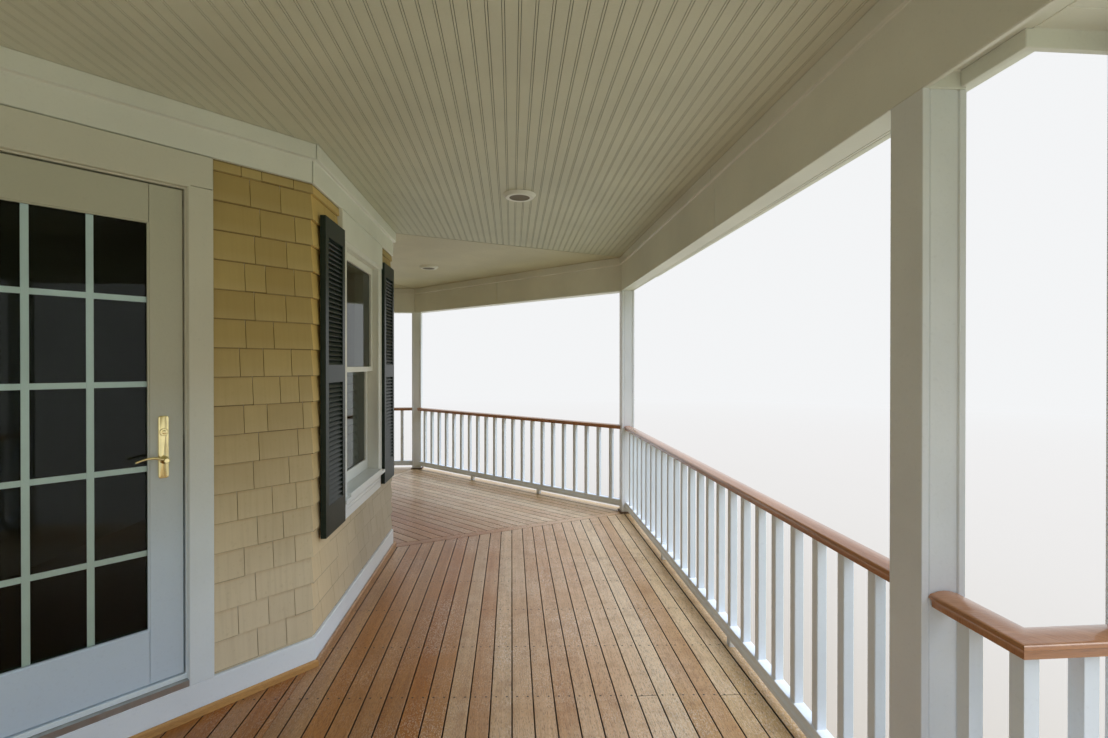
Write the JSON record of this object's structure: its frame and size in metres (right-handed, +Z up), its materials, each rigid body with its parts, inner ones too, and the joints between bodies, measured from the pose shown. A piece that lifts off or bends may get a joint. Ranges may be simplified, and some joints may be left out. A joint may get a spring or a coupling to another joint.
{
  "type": "front porch",
  "caption": "Covered corner porch round a canted, shingled house bay, with a glazed entry door, a shuttered window, square posts, varnished handrails and a board floor.",
  "frame": {"origin": "on the ground, under the middle of the window wall's foundation", "axes": "+X out of the house across the long bay, +Y along the long bay, +Z up"},
  "size_m": [5.8325, 9.579, 4.3984],
  "materials": {
    "concrete": "cast, matt",
    "wall_shingles": "painted, matt",
    "white_trim": "painted, satin",
    "deck_wood": "oiled",
    "frame_wood": "sawn",
    "rail_wood": "varnished",
    "roof_shingles": "rough",
    "shutter_paint": "painted, satin",
    "glass": "clear",
    "brass": "polished",
    "sill_metal": "satin",
    "shoe_metal": "matt",
    "lamp_glass": "frosted"
  },
  "bodies": {
    "porch": {"foundation": "concrete", "piers": "concrete", "house_wall": "wall_shingles", "north_wall": "wall_shingles", "northeast_wall": "wall_shingles", "window_wall": "wall_shingles", "door_wall_right": "wall_shingles", "door_wall_left": "wall_shingles", "door_wall_head": "wall_shingles", "south_wall": "wall_shingles", "house_floor": "frame_wood", "upper_floor": "frame_wood", "wall_trim": "white_trim", "door_frame": "white_trim", "door_sill": "sill_metal", "door_hinges": "brass", "window_frame": "white_trim", "window_sashes": "white_trim", "window_glass": "glass", "window_blind": "white_trim", "shutters": "shutter_paint", "posts": "white_trim", "post_bases": "shoe_metal", "deck_frame": "frame_wood", "deck_east": "deck_wood", "deck_northeast": "deck_wood", "beam_east": "white_trim", "beam_northeast": "white_trim", "beam_north": "white_trim", "beam_south": "white_trim", "entry_header": "white_trim", "ceiling_east": "white_trim", "ceiling_northeast": "white_trim", "ceiling_lights": "lamp_glass", "roof_east": "roof_shingles", "roof_south": "roof_shingles", "roof_northeast": "roof_shingles", "eaves": "white_trim", "railing_entry": "white_trim", "railing_east": "white_trim", "railing_northeast": "white_trim", "railing_north": "white_trim", "railing_south": "white_trim", "handrails": "rail_wood", "step_treads": "deck_wood", "step_stringers": "white_trim"},
    "door": {"door_leaf": "white_trim", "door_glass": "glass", "door_handle": "brass"}
  },
  "joints": [
    {"name": "door_hinge", "type": "hinge", "parent": "porch", "child": "door", "pos_m": [-0.84019, -1.83989, 1.82], "axis": [0, 0, -1], "range_deg": [0, 90]}
  ]
}
